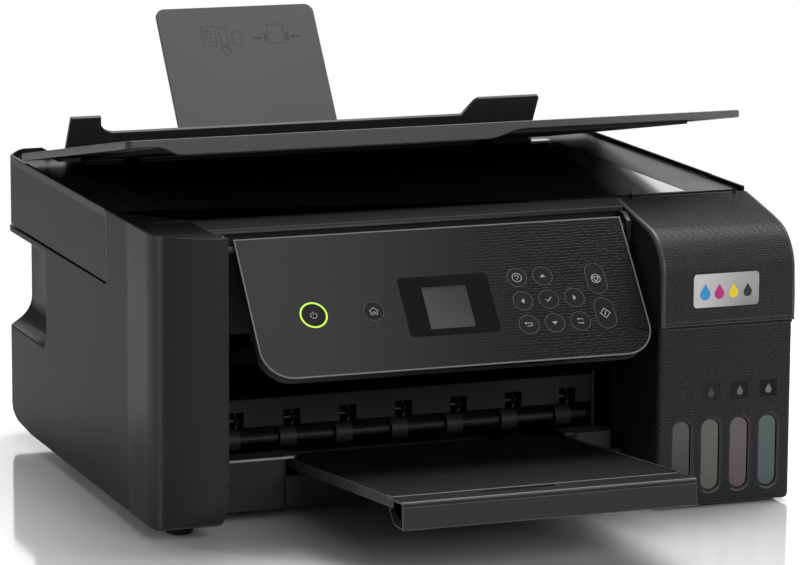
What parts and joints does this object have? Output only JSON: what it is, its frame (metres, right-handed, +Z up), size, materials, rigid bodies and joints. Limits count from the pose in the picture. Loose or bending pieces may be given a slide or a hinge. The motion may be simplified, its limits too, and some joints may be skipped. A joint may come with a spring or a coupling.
{
  "type": "inkjet printer",
  "caption": "Inkjet printer with refillable ink tanks, a flatbed scanner under a hinged cover, a tilting control panel, a rear paper feed and a pull-out output tray.",
  "frame": {"origin": "middle of the footprint of the whole printer, on the surface that it stands on", "axes": "+X to the right of a person who faces the control panel, +Y to the back, +Z up"},
  "size_m": [0.375, 0.5106, 0.2495],
  "materials": {
    "case_black": "fine grained",
    "cover_black": "patterned satin",
    "lid_grey": "satin",
    "support_grey": "satin",
    "rubber": "matt",
    "roller": "ground",
    "tank_clear": "translucent",
    "cap_black": "satin",
    "cap_yellow": "satin",
    "cap_magenta": "satin",
    "cap_cyan": "satin",
    "steel": "zinc plated",
    "brass": "turned",
    "felt": "fibrous",
    "board": "solder mask",
    "glass": "polished",
    "dark_foam": "foam",
    "screen": "gloss",
    "belt": "toothed"
  },
  "bodies": {
    "case": {"base_pan": "case_black", "rubber_feet": "rubber", "left_cover": "case_black", "right_cover": "case_black", "rear_cover": "case_black", "front_band": "cover_black", "tank_housing": "case_black", "ink_tanks": "tank_clear", "chassis": "steel", "platen": "case_black", "star_wheel_bar": "case_black", "drive_belt": "belt", "carriage_motor": "steel", "capping_station": "case_black", "waste_ink_pad": "felt", "power_supply": "case_black", "main_board": "board", "rear_feed_housing": "case_black"},
    "scanner": {"scanner_tray": "case_black", "scanner_deck": "cover_black", "scanner_glass": "glass"},
    "sensor": {"cis_bar": "case_black"},
    "lid": {"document_cover": "lid_grey", "document_mat": "dark_foam"},
    "panel": {"panel_shell": "case_black", "panel_fascia": "cover_black", "display": "screen"},
    "tank_lid": {"tank_cover": "cover_black"},
    "tray": {"output_tray": "case_black"},
    "tray_end": {"tray_extension": "case_black"},
    "head": {"carriage": "case_black", "print_head": "case_black"},
    "feed": {"feed_roller": "roller"},
    "exit": {"exit_roller": "roller"},
    "stars": {"star_wheels": "steel"},
    "pickup": {"pickup_roller": "roller"},
    "drive_pulley": {"motor_pulley": "brass"},
    "idler": {"idler_pulley": "case_black"},
    "guard": {"feeder_guard": "case_black"},
    "support": {"paper_support": "support_grey"},
    "guide_left": {"edge_guide_left": "case_black"},
    "guide_right": {"edge_guide_right": "case_black"},
    "lid_black": {"cap_black": "cap_black"},
    "lid_yellow": {"cap_yellow": "cap_yellow"},
    "lid_magenta": {"cap_magenta": "cap_magenta"},
    "lid_cyan": {"cap_cyan": "cap_cyan"},
    "button_power": {"button_power": "cover_black"},
    "button_home": {"button_home": "cover_black"},
    "button_help": {"button_help": "cover_black"},
    "button_up": {"button_up": "cover_black"},
    "button_stop": {"button_stop": "cover_black"},
    "button_left": {"button_left": "cover_black"},
    "button_ok": {"button_ok": "cover_black"},
    "button_right": {"button_right": "cover_black"},
    "button_start": {"button_start": "cover_black"},
    "button_back": {"button_back": "cover_black"},
    "button_down": {"button_down": "cover_black"},
    "button_swap": {"button_swap": "cover_black"}
  },
  "joints": [
    {"name": "scanner_lift", "type": "hinge", "parent": "case", "child": "scanner", "pos_m": [0, 0.18905, 0.15], "axis": [-1, 0, 0], "range_deg": [0, 22]},
    {"name": "document_lid", "type": "hinge", "parent": "scanner", "child": "lid", "pos_m": [0, 0.15805, 0.1736], "axis": [-1, 0, 0], "range_deg": [-10.2, 34]},
    {"name": "sensor_travel", "type": "slide", "parent": "scanner", "child": "sensor", "axis": [1, 0, 0], "range_m": [0, 0.268]},
    {"name": "panel_tilt", "type": "hinge", "parent": "case", "child": "panel", "pos_m": [0, -0.08436, 0.15779], "axis": [1, 0, 0], "range_deg": [-28, 18]},
    {"name": "tank_cover_hinge", "type": "hinge", "parent": "case", "child": "tank_lid", "pos_m": [0, -0.06615, 0.1672], "axis": [-1, 0, 0], "range_deg": [0, 60]},
    {"name": "cap_black_hinge", "type": "hinge", "parent": "case", "child": "lid_black", "pos_m": [0.119, -0.08595, 0.111], "axis": [-1, 0, 0], "range_deg": [0, 48]},
    {"name": "cap_yellow_hinge", "type": "hinge", "parent": "case", "child": "lid_yellow", "pos_m": [0.137, -0.08595, 0.111], "axis": [-1, 0, 0], "range_deg": [0, 48]},
    {"name": "cap_magenta_hinge", "type": "hinge", "parent": "case", "child": "lid_magenta", "pos_m": [0.155, -0.08595, 0.111], "axis": [-1, 0, 0], "range_deg": [0, 48]},
    {"name": "cap_cyan_hinge", "type": "hinge", "parent": "case", "child": "lid_cyan", "pos_m": [0.173, -0.08595, 0.111], "axis": [-1, 0, 0], "range_deg": [0, 48]},
    {"name": "tray_slide", "type": "slide", "parent": "case", "child": "tray", "axis": [0, 0.9957, -0.0924], "range_m": [0, 0.1]},
    {"name": "tray_end_slide", "type": "slide", "parent": "tray", "child": "tray_end", "axis": [0, -0.9957, 0.0924], "range_m": [0, 0.07]},
    {"name": "carriage_travel", "type": "slide", "parent": "case", "child": "head", "axis": [1, 0, 0], "range_m": [-0.227, 0]},
    {"name": "motor_spin", "type": "hinge", "parent": "case", "child": "drive_pulley", "pos_m": [0.17, 0.07205, 0.09], "axis": [0, 1, 0], "range_deg": [-2500, 2500]},
    {"name": "idler_spin", "type": "hinge", "parent": "case", "child": "idler", "pos_m": [-0.136, 0.07205, 0.09], "axis": [0, 1, 0], "range_deg": [-2500, 2500]},
    {"name": "feed_spin", "type": "hinge", "parent": "case", "child": "feed", "pos_m": [0, 0.06605, 0.047], "axis": [1, 0, 0], "continuous": true},
    {"name": "exit_spin", "type": "hinge", "parent": "case", "child": "exit", "pos_m": [0, -0.03395, 0.038], "axis": [1, 0, 0], "continuous": true},
    {"name": "star_spin", "type": "hinge", "parent": "case", "child": "stars", "pos_m": [0, -0.03395, 0.0493], "axis": [1, 0, 0], "continuous": true},
    {"name": "pickup_spin", "type": "hinge", "parent": "case", "child": "pickup", "pos_m": [0, 0.1342, 0.11221], "axis": [1, 0, 0], "continuous": true},
    {"name": "guard_hinge", "type": "hinge", "parent": "case", "child": "guard", "pos_m": [0, 0.18505, 0.171], "axis": [-1, 0, 0], "range_deg": [0, 58]},
    {"name": "support_slide", "type": "slide", "parent": "case", "child": "support", "axis": [0, -0.5835, -0.8121], "range_m": [0, 0.05]},
    {"name": "guide_right_slide", "type": "slide", "parent": "case", "child": "guide_right", "axis": [1, 0, 0], "range_m": [-0.05, 0]},
    {"name": "guide_left_slide", "type": "slide", "parent": "case", "child": "guide_left", "axis": [1, 0, 0], "range_m": [0, 0.05]},
    {"name": "button_back_press", "type": "slide", "parent": "panel", "child": "button_back", "axis": [0, 0.7738, -0.6334], "range_m": [0, 0.0006], "stiffness_N_per_m": 400},
    {"name": "button_down_press", "type": "slide", "parent": "panel", "child": "button_down", "axis": [0, 0.7738, -0.6334], "range_m": [0, 0.0006], "stiffness_N_per_m": 400},
    {"name": "button_help_press", "type": "slide", "parent": "panel", "child": "button_help", "axis": [0, 0.7738, -0.6334], "range_m": [0, 0.0006], "stiffness_N_per_m": 400},
    {"name": "button_home_press", "type": "slide", "parent": "panel", "child": "button_home", "axis": [0, 0.7738, -0.6334], "range_m": [0, 0.0006], "stiffness_N_per_m": 400},
    {"name": "button_left_press", "type": "slide", "parent": "panel", "child": "button_left", "axis": [0, 0.7738, -0.6334], "range_m": [0, 0.0006], "stiffness_N_per_m": 400},
    {"name": "button_ok_press", "type": "slide", "parent": "panel", "child": "button_ok", "axis": [0, 0.7738, -0.6334], "range_m": [0, 0.0006], "stiffness_N_per_m": 400},
    {"name": "button_power_press", "type": "slide", "parent": "panel", "child": "button_power", "axis": [0, 0.7738, -0.6334], "range_m": [0, 0.0006], "stiffness_N_per_m": 400},
    {"name": "button_right_press", "type": "slide", "parent": "panel", "child": "button_right", "axis": [0, 0.7738, -0.6334], "range_m": [0, 0.0006], "stiffness_N_per_m": 400},
    {"name": "button_start_press", "type": "slide", "parent": "panel", "child": "button_start", "axis": [0, 0.7738, -0.6334], "range_m": [0, 0.0006], "stiffness_N_per_m": 400},
    {"name": "button_stop_press", "type": "slide", "parent": "panel", "child": "button_stop", "axis": [0, 0.7738, -0.6334], "range_m": [0, 0.0006], "stiffness_N_per_m": 400},
    {"name": "button_swap_press", "type": "slide", "parent": "panel", "child": "button_swap", "axis": [0, 0.7738, -0.6334], "range_m": [0, 0.0006], "stiffness_N_per_m": 400},
    {"name": "button_up_press", "type": "slide", "parent": "panel", "child": "button_up", "axis": [0, 0.7738, -0.6334], "range_m": [0, 0.0006], "stiffness_N_per_m": 400}
  ],
  "couplings": [
    {"joint": "motor_spin", "follows": "carriage_travel", "rad_per_m": 166.67},
    {"joint": "idler_spin", "follows": "carriage_travel", "rad_per_m": 166.67},
    {"joint": "exit_spin", "follows": "feed_spin", "ratio": 0.8333},
    {"joint": "star_spin", "follows": "feed_spin", "ratio": -1},
    {"joint": "guide_left_slide", "follows": "guide_right_slide", "ratio": -1}
  ]
}
